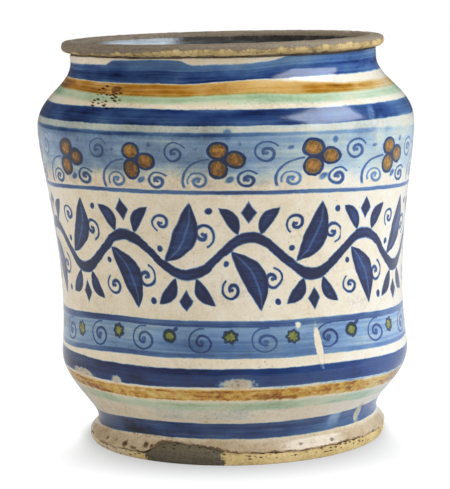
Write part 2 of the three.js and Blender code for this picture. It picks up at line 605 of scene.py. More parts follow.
def clayMaterial():
    material, tree, shader = newMaterial("bareClay")
    place, x, y, z, angle = aroundJar(tree)
    degrees = angle * perRadian
    fine = cloud(place, 0.9, 4, 0.65)
    broad = cloud(place, 0.09, 3)
    ragged = cloud(place, 0.75, 3, 0.65)
    streak = cloud(vector(x * 0.05, y * 0.05, z * 1.1), 1.0, 3, 0.6)
    buff = tint(tree, fine * 1.1 + broad * 0.8 + 0.5, [
        (0.0, srgb(150, 118, 72)), (0.35, srgb(198, 170, 112)),
        (0.6, srgb(219, 193, 136)), (1.0, srgb(232, 213, 168)),
    ])
    grime = tint(tree, fine * 0.8 + streak * 0.6 + ramp(x, -30.0, 50.0, 0.5, 0.68), [
        (0.1, srgb(84, 72, 58)), (0.45, srgb(124, 110, 92)), (0.8, srgb(152, 138, 116)),
    ])
    # grey wear covers the rim but for its outer face, where the clay shows, less so on the left
    away = reach(x, y)
    patchy = cloud(place, 0.16, 3, 0.6)
    rimLine = z + ragged * 1.5 + patchy * 4.0
    rimLine = rimLine + ramp(x, -58.0, -12.0, 1.7, 0.0) - ramp(x, 30.0, 62.0, 0.0, 0.5)
    outside = ramp(away, 63.0, 64.2)
    worn = most(ramp(rimLine, 162.4, 163.0), ramp(z, 150.0, 152.0) * (1.0 - outside))
    colour = over(buff, worn, grime)
    # brown chips in the buff band, and a paler edge round the mouth: polished wear, with a painted
    # highlight along it
    chips = ramp(patchy + ragged * 0.6, 0.12, 0.2) * outside * ramp(z, 159.0, 160.0)
    colour = over(colour, chips * (1.0 - worn * 0.7) * 0.75, srgb(112, 78, 52))
    stain = between(rimLine, 161.7, 162.7, 0.5) * outside * ramp(fine + patchy, -0.15, 0.15)
    colour = over(colour, stain * 0.6, srgb(108, 82, 56))
    polishAndHighlight = fall(abs(away - 61.7), 0.2, 0.9) * ramp(z, 164.2, 164.8)
    colour = over(colour, polishAndHighlight * (fine + 0.55), srgb(172, 162, 144))
    # inside, thin dark glaze climbs to the mouth's edge; at the back left a pale patch on it is a
    # painted reflection
    climb = fall(z + ragged * 0.8 + patchy * 0.8, 162.5, 163.1) * fall(away, 61.0, 61.8)
    gloom = tint(tree, fine * 0.8 + patchy * 0.9 + 0.5, [
        (0.1, srgb(40, 38, 35)), (0.5, srgb(66, 62, 56)), (0.9, srgb(104, 98, 88)),
    ])
    paintedLight = ramp(x + patchy * 12.0, -54.0, -46.0) * fall(x + ragged * 8.0, -24.0, -16.0)
    paintedLight = paintedLight * ramp(y, 20.0, 30.0)
    gloom = over(gloom, paintedLight * (streak * 1.2 + 0.85), srgb(192, 200, 206))
    colour = over(colour, climb * ramp(z, 148.0, 150.0), gloom)
    # a soot-coloured patch on the foot, where the glaze has gone
    sideways = abs(degrees - (coat["wornAngle"] - 2.2)) + ragged * 7.0 + patchy * 7.0
    patch = fall(sideways, 15.2, 16.4) * fall(z, 11.0, 13.0)
    dark = tint(tree, fine * 0.9 + streak * 0.6 + ramp(z, 2.0, 8.0, 0.48, 0.8), [
        (0.1, srgb(66, 58, 46)), (0.5, srgb(96, 88, 72)), (0.9, srgb(126, 114, 90)),
    ])
    colour = over(colour, patch, dark)
    # on the left a thin wash of glaze runs down over the clay
    thinly = fall(degrees + ragged * 12.0, -50.0, -38.0) * ramp(degrees, -130.0, -110.0)
    thinly = thinly * fall(z, 11.0, 13.0)
    colour = over(colour, thinly * (fine * 0.8 + 0.8), srgb(206, 188, 156))
    # dark crumbs along the edge of the glaze and pores, and a patchy painted shade in the hollow
    # under the rim
    line = footLine(angle, z)
    seam = fall(abs(line + 0.3 + ragged * 2.4), 0.15, 0.6) * ramp(cloud(place, 0.14, 2), -0.1, 0.06)
    crumbs = grains(vector(x * 0.5, y * 0.5, z), 1.0, 0.5, 0.5) * between(line, -2.6, 0.4, 0.6)
    pores = grains(place, 0.9, 0.3, 0.25, 4.0)
    underLipShade = between(z + ragged, 159.9, 160.5, 0.4) * ramp(cloud(place, 0.3, 2), 0.0, 0.12)
    dirtAndShade = most(most(crumbs * 0.9, pores * 0.6), most(underLipShade * 0.85, seam))
    colour = over(colour, dirtAndShade, srgb(62, 48, 34))
    plug(tree, colour, shader.inputs["Base Color"])
    plug(tree, worn * -0.12 + fine * 0.1 + 0.82, shader.inputs["Roughness"])
    shader.inputs["Specular IOR Level"].default_value = 0.3
    relief(tree, fine + streak * 0.5 - dirtAndShade * 0.5, 0.35, 0.7, shader)
    return material


def makeClayPot():
    ringInside, recessDepth, slope = jar["recess"]
    recessEdge = ringInside - slope
    footRadius = jar["footEdge"][0] - 0.5
    corner = jar["footCorner"]
    outline = [
        *[(recessEdge * i / 6, recessDepth) for i in range(7)],
        *bezier([(recessEdge, recessDepth), (ringInside - 0.6, recessDepth), (ringInside, 0)], 5),
        *[(ringInside + (footRadius - corner - ringInside) * i / 6, 0) for i in range(1, 7)],
        *bezier([(footRadius - corner, 0), (footRadius, 0), (footRadius + 0.1, corner)], 4),
        ((footRadius + jar["footEdge"][0]) / 2 + 0.1, 1.8),
        *outsideOutline(0.45),
        *lipOutline(clay["lipSteps"]),
        *insideOutline(3.0)[::-1][1:],
    ]
    bm = turnOutline(outline, clay["columns"], False)
    bm.normal_update()
    for vert in bm.verts:
        z = vert.co.z / mm
        angle = fromFront(vert.co)
        spot = vert.co / mm
        onLip = smooth(*clay["lipFrom"], z)
        onFoot = smooth(*clay["footFrom"], z) * smooth(*clay["footTo"], z)
        if math.hypot(spot.x, spot.y) <= clay["footInside"]:
            onFoot = 0
        rough = noise.noise(spot * 0.28) + 0.5 * noise.noise(spot * 0.75)
        push = clay["lipRough"] * onLip * rough + clay["footRough"] * onFoot * rough
        for turnAt, height, size, depth in clay["nicks"]:
            along = math.radians(turnAt) - angle
            away = math.hypot(math.sin(along / 2) * 2 * clay["lipRadius"], z - height)
            push -= depth * smooth(size, size * 0.35, away + 0.5 * rough) * onLip
        vert.co += vert.normal * push * mm
        asThrown(vert.co)
    finish(bm, "clayPot", clayMaterial(), ["clay_body"])


makeClayPot()


# Lining glaze, dark and dull with age

def liningMaterial():
    material, tree, shader = newMaterial("liningGlaze")
    place, x, y, z, _ = aroundJar(tree)
    broad = cloud(place, 0.035, 4, 0.6)
    streak = cloud(vector(x * 0.12, y * 0.12, z * 0.35), 1.0, 4, 0.65)
    base = tint(tree, broad * 0.9 + streak * 0.7 + 0.5, [
        (0.1, srgb(38, 38, 36)), (0.5, srgb(66, 69, 66)),
        (0.75, srgb(98, 100, 94)), (1.0, srgb(128, 128, 120)),
    ])
    # a pale patch at the back left, just under the mouth: a painted reflection
    side = ramp(x + cloud(place, 0.12, 3) * 14.0, -54.0, -46.0) * fall(x, -27.0, -17.0)
    pale = side * ramp(z + cloud(place, 0.2, 3) * 6.0, 148.0, 151.0) * ramp(y, 30.0, 36.0)
    colour = over(base, pale * (streak * 1.4 + 0.75), srgb(196, 206, 212))
    plug(tree, colour, shader.inputs["Base Color"])
    plug(tree, streak * 0.2 + 0.36, shader.inputs["Roughness"])
    relief(tree, cloud(place, 0.35, 3), 0.3, 0.4, shader)
    return material


def makeLining():
    inside = insideOutline(lining["rowEvery"])
    gap, rim = coat["gap"], lining["rimHeight"]
    full = gap + coat["thickness"]
    seat = offsetOutline(inside, -gap)[:-1]
    face = offsetOutline(inside, -full)[:-1]
    top = radiusAt(inside[-4:], rim)
    ends = [(top - gap, rim), (top - gap - 0.3, rim + 0.15), (top - full, rim - 0.4)]
    bm = turnOutline([*seat, *ends, *face[::-1]], lining["columns"], False)
    for vert in bm.verts:
        z = vert.co.z / mm
        angle = fromFront(vert.co)
        vert.co.z += (liningEdge(angle) - rim) * smooth(*lining["edgeFrom"], z) * mm
        asThrown(vert.co)
    finish(bm, "liningGlaze", liningMaterial(), ["inner_glaze"])


makeLining()


# The painted tin-glaze coat

bands = {
    # low edge, high edge, thickness of the colour, how streaky the brush left it
    "cobalt": (
        (10.2, 17.0, 0.84, 0.6),
        (33.8, 41.0, 0.92, 0.3),
        (45.0, 47.0, 0.62, 0.6),
        (57.0, 59.6, 0.76, 0.6),
        (108.7, 110.2, 0.70, 0.6),
        (134.7, 140.7, 0.80, 0.6),
        (151.0, 155.6, 0.81, 0.7),
    ),
    "orange": ((145.8, 150.6, 0.74, 1.2),),
    "ochre": ((28.2, 32.7, 0.74, 1.5),),
    "green": ((23.6, 27.1, 0.42, 1.2), (142.9, 146.0, 0.62, 1.2)),
}

layers = {
    # what each colour leaves of the white under it, from thin to thick
    "cobalt": [
        (0.0, (1.0, 1.0, 1.0)), (0.15, (0.59, 0.79, 0.98)), (0.35, (0.24, 0.44, 0.87)),
        (0.55, (0.105, 0.24, 0.61)), (0.75, (0.036, 0.100, 0.38)), (0.9, (0.012, 0.042, 0.23)),
        (1.0, (0.004, 0.010, 0.09)),
    ],
    "orange": [
        (0.0, (1.0, 1.0, 1.0)), (0.35, (0.82, 0.60, 0.26)),
        (0.72, (0.55, 0.27, 0.030)), (1.0, (0.23, 0.09, 0.006)),
    ],
    "ochre": [
        (0.0, (1.0, 1.0, 1.0)), (0.4, (0.88, 0.72, 0.30)),
        (0.8, (0.73, 0.47, 0.07)), (1.0, (0.46, 0.25, 0.03)),
    ],
    "green": [(0.0, (1.0, 1.0, 1.0)), (0.5, (0.62, 0.84, 0.74)), (1.0, (0.32, 0.60, 0.42))],
    "brown": [(0.0, (1.0, 1.0, 1.0)), (0.5, (0.50, 0.38, 0.27)), (1.0, (0.06, 0.04, 0.03))],
}


# The ornament's rows: how many repeats there are, and the wall's radius there. The spacing widens
# and narrows by so many degrees from a place. Each figure has the first one's place, in degrees
# from the front, and its height.
trefoilRow = {
    "count": 13,
    "radius": 75.8,
    "spacing": (12, 2.1),
    "flower": (-2.3, 109.7),
    "spiral": (11.1, 125.1),
}

flowerRow = {
    "count": 18,
    "radius": 71.2,
    "spacing": (0, 1.8),
    "flower": (-1.5, 53.2),
    "flowerHalf": 2.75,
    "hook": (9.9, 51.7),
}

vineRow = {
    "count": 18,
    "radius": 72.5,
    "wave": (6.0, 84.6),
    "waveHalf": 7.6,
    "stemHalf": 1.75,
    "leaf": (12.8, 4.7),
    "leaflet": (6.2, 2.6),
    "fruit": (2.7, 4.2),
}

flaws = {
    # degrees from the front, height, half width, half height, and for some how soft and how turned
    "bite": (-59.0, 34.5, 8.0, 1.7),
    "scratch": (27.2, 48.4, 1.6, 8.4, 0.6, 0.14),
    "spot": (20.4, 57.4, 1.3, 1.3),
    "drips": ((48.0, 136.8, 1.7, 3.4, 2.6, -0.3), (50.8, 130.5, 2.6, 5.2, 3.2, -0.3)),
    "run": (0.6, 131.4, 1.7, 2.6, 1.4),
    "pits": (-41.0, 144.4, 8.0, 6.0, 1.6),
    "scab": (-38.5, 148.3, 2.6, 1.3, 0.9),
    "footHoles": (
        (-48.6, 5.0, 1.9, 1.0), (-37.8, 6.2, 1.5, 1.1), (-35.1, 6.0, 0.9, 0.7),
        (-43.5, 4.4, 2.6, 0.5), (-55.0, 5.4, 0.6, 0.5), (-61.5, 5.0, 1.1, 0.5),
        (24.0, 6.9, 1.0, 0.6), (38.0, 6.4, 1.3, 0.7), (150.0, 6.5, 1.8, 0.9),
    ),
}


def repeats(angle, row, figure):
    # how far along its own repeat a point lies, in millimetres, its height, and the repeat's number
    count, radius = row["count"], row["radius"]
    startDegrees, base = row[figure]
    turns = angle * (count / fullTurn) - startDegrees * count / 360
    index = maths(angle.tree, "FLOOR", turns + 0.5)
    along = (turns - index) * (fullTurn * radius / count)
    return along, base, maths(angle.tree, "FLOORED_MODULO", index, float(count))


def oval(u, v, middleU, middleV, halfU, halfV, turn=0.0):
    # how far outside an oval a point is, less than 0 inside
    du, dv = u - middleU, v - middleV
    if turn:
        c, s = math.cos(turn), math.sin(turn)
        du, dv = du * c + dv * s, dv * c - du * s
    return (reach(du / halfU, dv / halfV) - 1.0) * min(halfU, halfV)


def brush(away, half, edge=0.22):
    # full colour within half a stroke's width, soft at its edge
    return fall(away, half - edge, half + edge)


def drawnRound(away, wide=1.3):
    # a dark line painted just inside a shape's edge, softer towards its inside
    return ramp(away, -0.55 - wide, 0.2 - wide) * fall(away, 0.0, 0.45)


def unevenly(angle, degrees, much):
    # the painter's spacing widens and narrows as the jar is turned
    count = 3.0 if much > 2 else 2.0
    shift = maths(angle.tree, "COSINE", (angle - math.radians(degrees)) * count) - 1.0
    return angle + shift * math.radians(much)


def curl(u, v, middleU, middleV, start, pitch, turns, outEnd, hand, half, wide=1.0):
    # a spiral stroke that thins towards its outer end, with a round blot at its eye
    tree = u.tree
    du, dv = (u - middleU) * (hand / wide), v - middleV
    away = reach(du, dv)
    round_ = maths(tree, "ARCTAN2", dv, du) - (math.radians(outEnd) - turns * fullTurn)
    lap = maths(tree, "ROUND", (away - start) / pitch - round_ / fullTurn)
    along = round_ + lap * fullTurn
    before = maths(tree, "LESS_THAN", along, 0.0)
    after = maths(tree, "GREATER_THAN", along, turns * fullTurn)
    along = along + (before - after) * fullTurn
    offLine = abs(away - start - along * (pitch / fullTurn))
    width = ramp(along, 0.3 * turns * fullTurn, turns * fullTurn, half * 1.1, half * 0.6)
    stroke = fall(offLine - width, -0.3, 0.36)
    eye = brush(away, start + half * 0.1)
    return most(stroke, eye * 0.9)


def leaf(u, v, middleU, middleV, halfLong, halfWide, turn, bend):
    # how far outside a pointed, curved leaf a point is
    c, s = math.cos(turn), math.sin(turn)
    du, dv = u - middleU, v - middleV
    along, across = du * c + dv * s, dv * c - du * s
    across = across + along * along * bend
    round_ = (halfLong**2 + halfWide**2) / (2 * halfWide)
    shift = round_ - halfWide
    return most(reach(along, across + shift), reach(along, across - shift)) - round_


def stripe(low, high, lowEdge, highEdge, soft=0.28):
    return ramp(lowEdge, low - soft, low + soft) * fall(highEdge, high - soft, high + soft)


def painted(name, lowEdge, highEdge, streak, pool, soft):
    # all the bands of one colour
    return reduce(most, (
        stripe(low, high, lowEdge, highEdge, soft) * ((streak + pool * 1.3) * streaky + thickness)
        for low, high, thickness, streaky in bands[name]
    ))


def trefoilBand(angle, height, wobbleU, wobbleV, ragged, flow):
    # spiral tendrils and three-petalled flowers, between the shoulder and the upper line
    tree = angle.tree
    angle = unevenly(angle, *trefoilRow["spacing"])
    along, base, number = repeats(angle, trefoilRow, "flower")
    a, b, c = chance(tree, number, 3.0)
    d, e, f = chance(tree, number, 61.0)
    u = along + wobbleU - a * 1.4
    v = height - base + wobbleV - b * 1.2
    rough = ragged * 0.6
    upper = oval(u + c * 0.9, v + d * 0.5, -0.9, 15.7, 4.2, 3.4, 0.1) + rough
    lower = oval(u - e * 0.9, v, -1.2, 8.9, 3.9, 3.8, 0.15) + rough
    right = oval(u, v + f * 0.9, 5.6, 12.5, 4.2, 3.3, -0.1) + rough
    petals = least(least(upper, lower), right)
    wide = d * 0.4 + 0.85
    edges = reduce(most, (drawnRound(petal, wide) for petal in (upper, lower, right)))
    edges = most(edges, brush(oval(u, v, 1.3, 12.4, 2.6, 2.6), 0.0, 0.4) * ramp(petals, -1.0, -0.4))
    stem = brush(abs(oval(u, v, -4.6, 4.0, 11.5, 8.3)), 0.46)
    stem = stem * fall(u, -4.9, -4.1) * ramp(v, 0.8, 2.4)
    under = curl(u + c * 1.4, v, -8.9, 4.3, 0.6, 1.95, 1.5, 205, 1.0, 0.5, 1.32)
    beside = curl(u - f * 1.6, v + e, 9.6, 4.4, 0.6, 2.05, 1.5, 148, -1.0, 0.56, 1.3)
    dots = least(oval(u, v, 2.9, 5.0, 1.9, 1.1, 0.5), oval(u, v, -10.2, 16.4, 1.4, 0.8, 0.3))
    dots = least(dots, oval(u, v, 7.6, 18.6, 1.1, 1.4, -0.3))
    # the spirals between the flowers have repeats of their own
    along, base, number = repeats(angle, trefoilRow, "spiral")
    g, h, k = chance(tree, number, 7.0)
    high = curl(along + wobbleU - g * 1.6, height - base + wobbleV - h * 1.4, 0.0, 0.0,
                0.75, 2.45, 1.55, 150, -1.0, 0.6, 1.15) * (k * 0.4 + 0.97)
    lines = most(most(stem * 0.8, under * (d * 0.4 + 0.76)), most(beside * 0.95, high))
    lines = lines * (flow * 0.6 + 0.82)
    cobalt = most(lines, edges * (flow * 0.6 + 0.96))
    cobalt = most(cobalt, brush(dots, 0.0, 0.5) * (flow + 0.64 + e * 0.3))
    return cobalt, petals


def flowerBand(angle, height, wobbleU, wobbleV, ragged, flow):
    # curls hanging from the lower line, with small green and ochre flowers between them
    tree = angle.tree
    angle = unevenly(angle, *flowerRow["spacing"])
    along, base, number = repeats(angle, flowerRow, "flower")
    a, b, c = chance(tree, number, 17.0)
    u = along + wobbleU - a * 1.4
    v = height - base + wobbleV - b
    lobes = maths(tree, "COSINE", maths(tree, "ARCTAN2", v, u) * 7.0) * 0.28
    kind = ramp(c, -0.02, 0.02)
    half = flowerRow["flowerHalf"]
    flower = oval(u, v, 0.0, 0.0, half, half) + lobes * kind + ragged * 1.3
    spike = brush(oval(u, v, 2.5, 2.7, 1.9, 0.9, 0.75) + ragged, 0.0, 0.3) * (1.0 - kind)
    along, base, number = repeats(angle, flowerRow, "hook")
    g, h, k = chance(tree, number, 47.0)
    hook = curl(along + wobbleU - g * 1.4, height - base + wobbleV - h * 0.8, 0.0, 0.0,
                1.0, 2.65, 1.6, 102, -1.0, 0.56, 1.2)
    edge = drawnRound(flower, a * 0.5 + 1.0)
    cobalt = most(hook * (flow * 0.6 + 0.82 + k * 0.12), most(edge, spike) * (flow * 0.5 + 0.84))
    return cobalt, flower


def vineBand(angle, height, wobbleU, wobbleV, flow):
    # a bold running vine: each half wave of the stem holds a leaf, and every second is turned over
    tree = angle.tree
    half = fullTurn * vineRow["radius"] / vineRow["count"]
    along, middle, number = repeats(angle, vineRow, "wave")
    odd = maths(tree, "FLOORED_MODULO", number, 2.0)
    sideways = chance(tree, number, 29.0)[0]
    u = along + wobbleU * 1.2
    v = (height - middle + wobbleV * 1.2) * (1.0 - odd * 2.0)
    wave = maths(tree, "COSINE", u * (math.pi / half)) * vineRow["waveHalf"]
    stem = (abs(v - wave) - flow * 1.2) * 0.8 - vineRow["stemHalf"]
    u = u - sideways * 1.2
    big = leaf(u, v, 1.0, -7.8, *vineRow["leaf"], -1.12, 0.02)
    vein = abs(leaf(u, v, 1.0, -7.8, 10.4, 0.25, -1.12, 0.02))
    small = leaf(u, v, -6.6, 14.6, *vineRow["leaflet"], 2.2, -0.035)
    twin = leaf(u, v, 6.6, 14.6, *vineRow["leaflet"], 0.95, 0.035)
    fruitWide, fruitTall = vineRow["fruit"]
    fruit = (abs(u) / fruitWide + abs(v - 17.4) / fruitTall - 1.0) * 1.9
    shapes = least(least(least(big, small), least(twin, fruit)), stem)
    # the colour pools towards the strokes' edges and is thinner along their middles
    pooled = ramp(shapes, -2.2, -0.4, -0.08, 0.06) + flow * 0.6 + 1.02
    solid = brush(shapes, 0.0, 0.4) * (1.0 - brush(vein, 0.2, 0.25) * 0.3)
    tendril = curl(u, v, 8.2, -8.8, 0.7, 3.0, 1.3, 80, 1.0, 0.62)
    back = curl(u, v, -7.6, -13.0, 0.6, 2.7, 1.3, 60, -1.0, 0.58)
    dots = least(oval(u, v, -9.4, -3.0, 1.1, 1.2), oval(u, v, 10.6, -17.8, 1.2, 1.3))
    fine = most(most(tendril, back), brush(dots, 0.0, 0.25)) * (flow * 0.5 + 0.9)
    return most(solid * pooled, fine)


def mark(angle, height, ragged, degrees, middle, halfWide, halfTall, soft=0.8, turn=0.0):
    # a worn or spoilt spot on the wall, 1 inside, with a ragged edge
    along = (angle - math.radians(degrees)) * coat["flawRadius"]
    away = oval(along, height, 0.0, middle, halfWide, halfTall, turn) + ragged * 2.0
    return fall(away, -soft / 2, soft / 2)


def glazeMaterial():
    material, tree, shader = newMaterial("paintedTinGlaze")
    place, x, y, z, angle = aroundJar(tree)
    degrees = angle * perRadian
    # the painter's bands tilt a little against the foot
    tilt = ramp(z, 35.0, 50.0, -0.0035, 0.0098) + ramp(z, 70.0, 105.0, 0.0, 0.006)
    tilt = tilt + ramp(z, 146.0, 154.0, 0.0, -0.032)
    # and they sag towards the sides, where the brush was lifted and set down again
    behindRight = fall(degrees, 105.0, 165.0)
    # the right side's share, where a painted reflection pales the blue
    sheenOnRight = ramp(degrees, 2.0, 22.0) * behindRight
    leftSag = ramp(degrees, -35.0, -75.0) * ramp(degrees, -165.0, -115.0) * 2.5
    sagging = fall(z, 20.0, 24.0) + between(z, 43.0, 61.0, 2.0)
    leftSag = leftSag * (sagging + between(z, 104.0, 124.0, 4.0) * 0.6)
    rightSag = ramp(degrees, 0.0, 20.0, 0.0, 0.3) + ramp(degrees, 22.0, 75.0, 0.0, 2.75)
    rightSag = rightSag * behindRight * ramp(z, 18.0, 22.0) * fall(z, 126.0, 134.6)
    wave = maths(tree, "SINE", angle * 4.0 + math.radians(30)) * between(z, 144.0, 151.0, 2.0)
    wave = wave * between(degrees, -130.0, 10.0, 14.0) * -0.8
    lift = ramp(degrees, 5.0, 27.0, 0.6, -0.4) + ramp(degrees, 36.0, 56.0, 0.0, 0.6)
    lift = lift * between(degrees, -12.0, 100.0, 12.0) * ramp(z, 142.0, 152.0)
    height = z + x * tilt + leftSag + rightSag + wave + lift
    slow = cloud(place, 0.022, 2)
    quick = cloud(place, 0.22, 3)
    other = cloud(vector(y, x, z), 0.2, 3)
    ragged = cloud(place, 0.75, 3, 0.65)
    streak = cloud(vector(x * 0.018, y * 0.018, height * 0.85), 1.0, 4, 0.62)
    pool = cloud(vector(x * 0.05, y * 0.05, height * 0.12), 1.0, 3, 0.55)
    flow = streak * 0.7 + pool * 0.9
    lowEdge = height + slow * 1.6 + quick * 0.6 + ragged * 0.35
    highEdge = height + slow * 1.2 + other * 0.6 + ragged * 0.35
    thinner = maths(tree, "SINE", angle - 0.17) * -0.12 + 0.94

    cobalt = painted("cobalt", lowEdge, highEdge, streak, pool, 0.3)
    # on the neck a thinner stroke runs above the dark one, up to the rim in places
    up = between(degrees, -42.5, -15.5, 5.0) + between(degrees, 28.0, 82.0, 12.0)
    neck = ramp(lowEdge, 154.8, 155.4) * fall(highEdge - up * 1.7, 157.4, 158.2)
    cobalt = most(cobalt, neck * (flow * 0.7 + 0.62))
    # a soft line at the top of the band of flowers, faint on the right, where a painted reflection
    # pales it
    line = stripe(130.5, 132.3, lowEdge, highEdge, 0.6)
    cobalt = most(cobalt, line * (flow * 0.8 + 0.66 - sheenOnRight * 0.32))
    # a wash fills the band of flowers from its top and fades out downwards; on the right it is
    # paler, a painted reflection
    wash = ramp(highEdge, 131.4, 132.6, 1.0, 0.33)
    wash = wash * ramp(height + pool * 9.0, 112.5, 123.0, 0.0, 0.35)
    wash = wash * between(height, 112.5, 136.0, 2.3)
    cobalt = most(cobalt, wash * (flow * 1.6 + 1.14 - sheenOnRight * 0.38))
    # the lower band's wash is thickest at the front, by its lower line
    thick = between(degrees, -8.0, 24.0, 26.0) * ramp(height, 57.0, 48.0, 0.04, 0.23) + 0.36
    wash = stripe(45.0, 58.5, lowEdge, highEdge) * ((streak + pool * 0.8) * 0.6 + thick)
    cobalt = most(cobalt, wash) * thinner

    wobbleU = cloud(place, 0.11, 2) * 1.6 + ragged * 0.3
    wobbleV = cloud(vector(z, x, y), 0.12, 2) * 1.6 - ragged * 0.3
    lines, petals = trefoilBand(angle, height, wobbleU, wobbleV, ragged, flow)
    # watery blue has run down below the heel's dark band on the right, and a little under the green
    smear = between(degrees, 16.0, 80.0, 8.0) * between(height, 33.2, 35.0, 0.8)
    smear = smear + between(height, 19.5, 23.0, 1.5) * between(degrees, -28.0, 0.0, 8.0) * 0.28
    cobalt = most(cobalt, smear * ramp(ragged + pool, -0.2, 0.25, 0.05, 0.4))
    curls, flowers = flowerBand(angle, height, wobbleU, wobbleV, ragged, flow)
    vine = vineBand(angle, height, wobbleU, wobbleV, flow)
    inPetals = brush(petals, -0.9, 0.5)
    inFlowers = brush(flowers, -0.4, 0.4)
    cobalt = cobalt * (1.0 - inFlowers * 0.5) * (1.0 - inPetals * 0.93)
    cobalt = most(most(cobalt, lines), most(curls, vine))

    lowered = highEdge + ramp(degrees, 8.0, 45.0, 0.0, 2.0) * behindRight
    orange = painted("orange", lowEdge, lowered, streak, pool, 0.6)
    orange = orange * (1.0 - between(degrees, -6.0, 22.0, 9.0) * 0.42)
    orange = orange * (1.0 - between(degrees, 68.0, 100.0, 14.0) * 0.5)
    petalPaint = ramp(petals, -2.6, -1.0, 0.80, 1.02) + ragged + pool * 0.7
    orange = most(orange, inPetals * petalPaint)
    blot = cloud(vector(x * 0.3, y * 0.3, z * 0.55), 1.0, 4, 0.65)
    ochre = painted(
        "ochre", lowEdge + ragged * 1.2, highEdge + ragged, streak, pool + ragged * 0.5, 0.5,
    )
    orange = most(orange, ochre * ramp(blot, -0.1, 0.15, 0.0, 0.62))
    ochre = most(ochre * (blot * 1.1 + 1.0), inFlowers * (ragged * 0.8 + 0.75))
    green = painted("green", lowEdge, highEdge, streak, pool, 0.9)
    green = most(green, inFlowers * (ragged * 1.2 + 0.5))
    green = most(green, inPetals * (ragged * 1.6 + 0.12))

    # flaws of age: bites out of the heel's dark band, a scratch, breaks in the foot's band, drips
    bites = mark(angle, height, ragged, *flaws["bite"])
    for flake in coat["flakes"]:
        bites = most(bites, mark(angle, z, ragged, *flake, 1.2))
    scratch = mark(angle, height, ragged * 0.6, *flaws["scratch"])
    spot = mark(angle, height, ragged, *flaws["spot"])
    thin = between(degrees, 38.5, 41.0, 3.0) * ramp(height + pool * 6.0, 9.0, 15.0)
    thin = thin * fall(height, 19.0, 20.0)
    drips = reduce(most, (mark(angle, height, ragged, *drip) for drip in flaws["drips"]))
    drips = drips * ramp(ragged + streak * 0.5, -0.2, 0.15, 0.2, 1.0)
    runs = mark(angle, height, ragged, *flaws["run"]) * (flow * 0.5 + 0.5)
    gone = most(most(bites * 0.92, scratch), spot)
    cobalt = most(cobalt, runs) * (1.0 - gone) * (1.0 - thin * 0.55) * (1.0 - drips * 0.6)
    orange = orange * (1.0 - gone)
    ochre = ochre * (1.0 - gone)
    green = green * (1.0 - gone)

    specks = grains(place, 0.42, 0.12, 0.3) * 0.75
    dust = grains(place, 1.15, 0.18, 0.34, 5.0) * 0.4
    dashes = grains(vector(x * 0.34, y * 0.34, z * 0.95 + x * 0.25), 1.0, 0.55, 0.85, 9.0)
    pits = dashes * mark(angle, height, ragged, *flaws["pits"])
    scab = mark(angle, height, ragged, *flaws["scab"]) * (ragged + 0.62)
    grey = between(degrees, -130.0, -6.0, 16.0) * between(height, 112.0, 135.0, 3.0)
    grey = grey * (ragged * 0.6 + pool * 0.7 + 0.14)
    biteDirt = grains(vector(x * 0.4, y * 0.4, z), 1.0, 0.4, 0.5, 2.0) * bites * 0.7
    # a darker rim round the scratch
    scratchRim = between(abs(scratch - 0.5), -1.0, 0.25, 0.1) * scratch * 0.35
    soot = between(degrees, -50.0, -24.0, 6.0) * between(height, 9.5, 15.0, 2.0)
    soot = soot * ramp(pool + ragged * 0.5, 0.0, 0.2) * 0.5
    holes = reduce(most, (mark(angle, z, ragged, *hole, 0.7) for hole in flaws["footHoles"]))
    crumbs = fall(footLine(angle, z) + ragged * 3.0, 0.1, 0.6) * ramp(quick, -0.15, 0.1, 0.2, 0.85)
    stainsAndFootShade = most(ramp(pool + ragged * 0.6, 0.04, 0.3, 0.0, 0.18), most(grey, scab))
    # the foot's flare below the groove is browned as well, a painted shade
    stainsAndFootShade = stainsAndFootShade + ramp(z, 10.0, 7.5, 0.0, 0.2)
    brown = most(most(specks, dust), most(pits, biteDirt))
    brown = most(brown, most(most(soot, crumbs), most(scratchRim, stainsAndFootShade)))
    brown = most(most(brown, bites * (ragged * 0.5 + 0.22)), holes * (ragged + 0.85))

    mottle = cloud(place, 1.1, 3, 0.6)
    # darker towards the foot, with a painted shade on the foot's flare; whiter on the right, a
    # painted light
    paintedLight = ramp(z, 8.0, 60.0, -0.07, 0.0) + ramp(z, 9.0, 11.0, -0.16, 0.0)
    paintedLight = paintedLight + ramp(degrees, 10.0, 60.0, 0.0, 0.28) * behindRight * ramp(z, 10.0, 14.0)
    colour = tint(tree, slow * 0.6 + pool * 0.4 + quick * 0.5 + mottle * 0.65 + paintedLight + 0.52, [
        (0.0, srgb(178, 154, 116)), (0.2, srgb(206, 186, 152)), (0.4, srgb(224, 207, 176)),
        (0.6, srgb(232, 218, 191)), (0.9, srgb(237, 232, 217)),
    ])
    thicknesses = {
        "green": green, "ochre": ochre, "orange": orange, "cobalt": cobalt, "brown": brown,
    }
    for name, thickness in thicknesses.items():
        colour = blend(tree, "MULTIPLY", 1.0, colour, tint(tree, thickness, layers[name]))
    plug(tree, colour, shader.inputs["Base Color"])
    plug(tree, quick * 0.06 + gone * 0.25 + brown * 0.3 + 0.12, shader.inputs["Roughness"])
    lumps = cloud(place, 0.16, 2) * 0.6 + mottle * 0.12 - pits
    relief(tree, lumps, 0.25, 0.5, shader)
    return material


def flaked(angle, z):
    # 1 where the glaze has flaked away
    share = 0.0
    for turnAt, middle, halfWide, halfTall in coat["flakes"]:
        away = (angle - math.radians(turnAt) + math.pi) % fullTurn - math.pi
        rough = 0.3 * noise.noise(Vector((away * 60, z * 0.8, turnAt)))
        distance = math.hypot(away * coat["flawRadius"] / halfWide, (z - middle) / halfTall) - 1
        distance *= min(halfWide, halfTall)
        share = max(share, smooth(0.5, -0.5, distance + rough))
    return share


